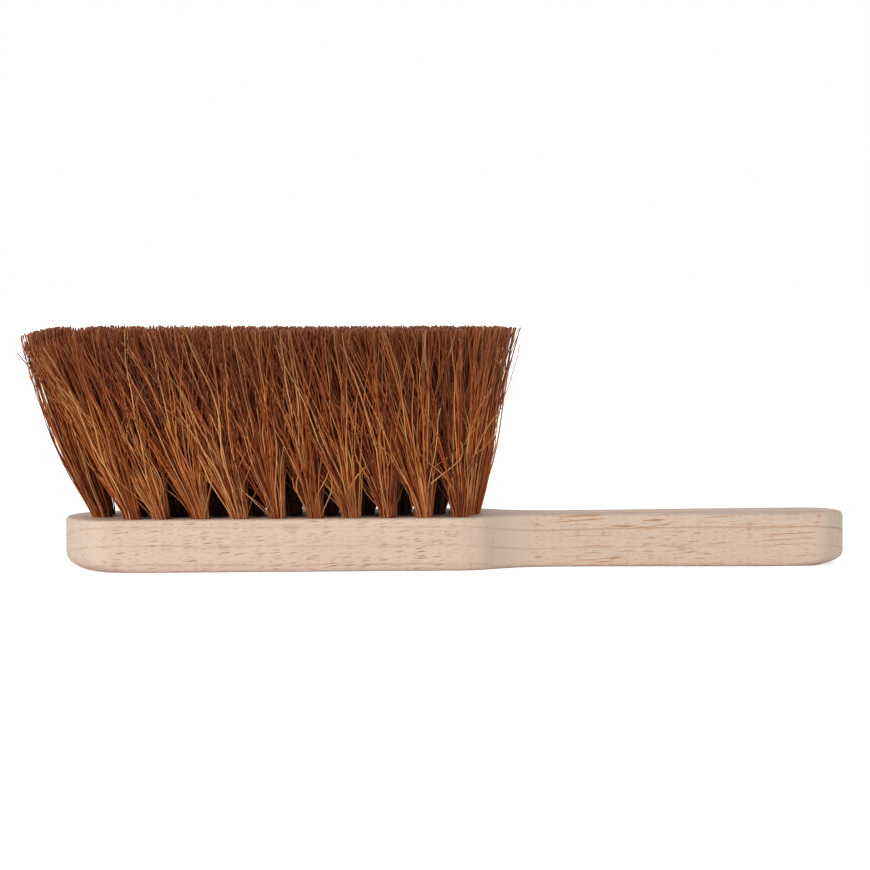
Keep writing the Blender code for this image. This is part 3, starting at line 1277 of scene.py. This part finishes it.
@dataclass
class CoirTufts:
    """All the tufts of the brush."""

    layout: TuftLayout
    block: WoodenBlock
    tree: FibreTree = field(default_factory=FibreTree)
    outer: Combing = Combing(-14.2 * MM, 0.126, 0.0, 1.1, 0.15, 5 * MM, 24 * MM)
    inner: Combing = Combing(-12.3 * MM, 0.098, 12 * MM, 0.5, 0.55, 0.0, 2 * MM)
    fibres: int = 215
    stations: int = 14
    sides: int = 3
    # Real coir is 0.1 to 0.2 mm in radius. These fibres are drawn thicker, so that each one shows
    fibre_radius: float = 0.23 * MM
    root_radius: float = 3.0 * MM
    sunk: float = 2 * MM
    end_flare_length: float = 26 * MM
    end_flare_lead: float = 0.8
    end_bend: float = -0.5
    splay_across: float = 0.35
    lean_jitter: float = 2 * MM
    fan_along: float = 10 * MM
    fan_across: float = 7 * MM
    loose_along: float = 17 * MM
    loose_across: float = 4 * MM
    lock: float = 11 * MM
    curl: float = 12 * MM
    crimp: float = 1.4 * MM
    stray_share: float = 0.08
    stray_reach: float = 2.2
    stray_curl: float = 5.0
    end_fan_share: float = 0.6
    end_loose_share: float = 0.12
    end_curl_share: float = 0.75
    end_length: float = 34 * MM
    trim_height: float = 69.3 * MM
    trim_rise: float = 0.011
    trim_level_from: float = 40 * MM
    fibre_spare: float = 2.4 * MM
    ragged: float = 0.75 * MM
    short_share: float = 0.25
    first_seed: int = 12
    lean_seed: int = 7

    def freedom(self, x: float, combing: Combing, end_share: float) -> float:
        """Says what share of a full spread a tuft's fibres have, less near both ends.

        Args:
            x: Where the tuft's root is.
            combing: How its row's fibres run.
            end_share: The share at the very ends of the rows.

        Returns:
            A share from end_share to 1.
        """
        behind = x - self.layout.inner_first_x + combing.nose_margin
        ahead = self.layout.inner_last_x - x + combing.neck_margin
        within = smooth_step(min(behind, ahead) / self.end_length)
        return end_share + (1 - end_share) * within

    def values(self, side: RowSide, centre: Vector, sway: float) -> dict[str, object]:
        """Sets the growth of one tuft.

        Args:
            side: Which row it stands in.
            centre: Its hole's centre, seen from above.
            sway: Its own lean beside that of its row.

        Returns:
            A value for each input of the tree but its seed and its finish.
        """
        x, y = centre
        combing = self.outer if side.is_outer else self.inner
        head = self.block.shoulder_x - self.block.nose_x
        ahead = max((self.block.shoulder_x - x) / head, 0.0)
        out = smooth_step((x - self.block.shoulder_x) / self.end_flare_length + self.end_flare_lead)
        lean = combing.lean + combing.lean_per_length * x + combing.end_flare * out + sway
        fan = self.freedom(x, combing, self.end_fan_share)
        free = self.freedom(x, combing, self.end_loose_share)
        height = self.trim_height + self.trim_rise * max(self.trim_level_from - x, 0.0)
        return {
            "Fibres": self.fibres,
            "Stations": self.stations,
            "Sides": self.sides,
            "Root": (x, y, self.block.thickness),
            "Root radius": self.root_radius,
            "Sunk": self.sunk,
            "Lean": (lean, y * self.splay_across, 0.0),
            "Bend": combing.nose_bend * ahead + self.end_bend * out,
            "Fan": (self.fan_along * fan, self.fan_across, 0.0),
            "Fan power": combing.fan_power,
            "Loose": (self.loose_along * free, self.loose_across, 0.0),
            "Lock": self.lock * fan,
            "Curl": self.curl * self.freedom(x, combing, self.end_curl_share),
            "Crimp": self.crimp,
            "Stray share": self.stray_share,
            "Stray reach": self.stray_reach * free,
            "Stray curl": self.stray_curl * free,
            "Height": height,
            "Length": height + self.fibre_spare,
            "Ragged": self.ragged,
            "Short share": self.short_share,
            "Fibre radius": self.fibre_radius,
        }

    def build(self, coir: bpy.types.Material) -> Iterator[tuple[str, bpy.types.Object]]:
        """Grows every tuft.

        Args:
            coir: The fibres' material.

        Yields:
            The node that the tuft stands for, and the tuft.
        """
        chance = random.Random(self.lean_seed)
        seed = self.first_seed
        for side in RowSide:
            for node, centre in self.layout.row(side):
                values = self.values(side, centre, chance.uniform(-1, 1) * self.lean_jitter)
                values |= {"Seed": seed, "Finish": coir}
                yield node, self.tree.grow(f"coir_{node}", values)
                seed += 1


@dataclass(frozen=True)
class SoftLamp:
    """A square soft light."""

    name: str
    place: Triple
    size: float
    watts: float

    def hang(self, aim: Vector) -> None:
        """Hangs the light in the scene.

        Args:
            aim: The point that it faces.
        """
        data = bpy.data.lights.new(self.name, "AREA")
        data.size = self.size
        data.energy = self.watts
        lamp = new_object(self.name, data)
        lamp.location = self.place
        lamp.rotation_euler = (aim - Vector(self.place)).to_track_quat("-Z", "Y").to_euler()


@dataclass(frozen=True)
class Studio:
    """Floor, lights and camera, set to the photograph's angle."""

    floor_half: float = 6.0
    eye: Triple = (0.063, -1.35, 0.125)
    aim_z: float = 0.0487
    roll: float = math.radians(0.42)
    focal: float = 149.9
    sensor: float = 36.0
    view_depth: float = 50.0
    world_strength: float = 0.32
    backdrop_strength: float = 1.1
    # The cosines of the angle from straight behind the brush where the backdrop starts and is full
    backdrop_cosines: tuple[float, float] = (0.4, 0.9)
    lamp_aim: Triple = (0.05, 0.0, 0.05)
    lamps: tuple[SoftLamp, ...] = (
        SoftLamp("key_light", (-1.3, -1.15, 0.5), 0.6, 18.9),
        SoftLamp("fill_light", (1.25, -1.15, 0.45), 0.8, 8.6),
        SoftLamp("top_light", (0.1, -0.1, 1.3), 0.8, 2.1),
    )

    def build(self) -> None:
        """Sets up the whole studio."""
        bpy.context.scene.view_settings.view_transform = "Standard"
        self._world()
        self._floor()
        for lamp in self.lamps:
            lamp.hang(Vector(self.lamp_aim))
        self._camera()

    def _world(self) -> None:
        """Makes the world soft grey light with a lit backdrop, and white to the camera."""
        world = bpy.data.worlds.new("studio_white")
        world.use_nodes = True
        tree = Tree(world.node_tree)
        towards = tree.add("TexCoord").outputs["Generated"]
        back = (0.0, 1.0, 0.0)
        behind = tree.add("VectorMath", towards, back, operation="DOT_PRODUCT")
        limits = (*self.backdrop_cosines, self.world_strength, self.backdrop_strength)
        glow = tree.add("MapRange", behind, *limits, interpolation_type="SMOOTHSTEP")
        is_seen = tree.add("LightPath").outputs["Is Camera Ray"]
        seen = tree.add("MapRange", is_seen, 0.0, 1.0, glow, 1.0)
        white = (1.0, 1.0, 1.0, 1.0)
        sky = tree.add("Background", inputs={"Color": white, "Strength": seen})
        tree.add("OutputWorld", inputs={"Surface": sky})
        bpy.context.scene.world = world

    def _floor(self) -> None:
        """Lays the floor under the brush."""
        shape = bmesh.new()
        bmesh.ops.create_grid(shape, x_segments=1, y_segments=1, size=self.floor_half)
        mesh = new_mesh("floor", shape)
        mesh.materials.append(PaleFloor().make())
        new_object("floor", mesh)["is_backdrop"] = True

    def _camera(self) -> None:
        """Sets the camera at the photograph's angle."""
        data = bpy.data.cameras.new("camera")
        data.lens = self.focal
        data.sensor_width = self.sensor
        data.clip_end = self.view_depth
        camera = new_object("camera", data)
        camera.location = self.eye
        aim = Vector((self.eye[0], 0.0, self.aim_z)) - Vector(self.eye)
        turn = aim.to_track_quat("-Z", "Y") @ Quaternion((0.0, 0.0, 1.0), -self.roll)
        camera.rotation_euler = turn.to_euler()
        bpy.context.scene.camera = camera


def write_sizes(solids: Iterable[Vector], dressed: Iterable[Vector]) -> None:
    """Turns the solids' box and the dressed model's box into lists of numbers, and keeps neither.

    Args:
        solids: The lowest and highest corner straight after loading.
        dressed: The lowest and highest corner of the finished model.
    """
    for name, box in (("cad", solids), ("visual", dressed)):
        [[float(value) for value in corner] for corner in box]


def main() -> None:
    """Builds the studio, the block and the tufts."""
    logging.basicConfig(level=logging.INFO, format="%(name)s: %(message)s")
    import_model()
    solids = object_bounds()
    Studio().build()
    layout = TuftLayout()
    block = WoodenBlock(layout)
    body = block.build(BareRubberwood().make())
    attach(body, "root")
    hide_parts("wooden_block")
    log.info("%s: %d faces", body.name, len(body.data.polygons))
    coir = CoirFibre().make()
    tufts = CoirTufts(layout, block)
    for node, tuft in tufts.build(coir):
        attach(tuft, "root")
        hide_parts(node)
        log.info("%s: %d faces", tuft.name, len(tuft.data.polygons))
    write_sizes(solids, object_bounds())


if __name__ == "__main__":
    main()
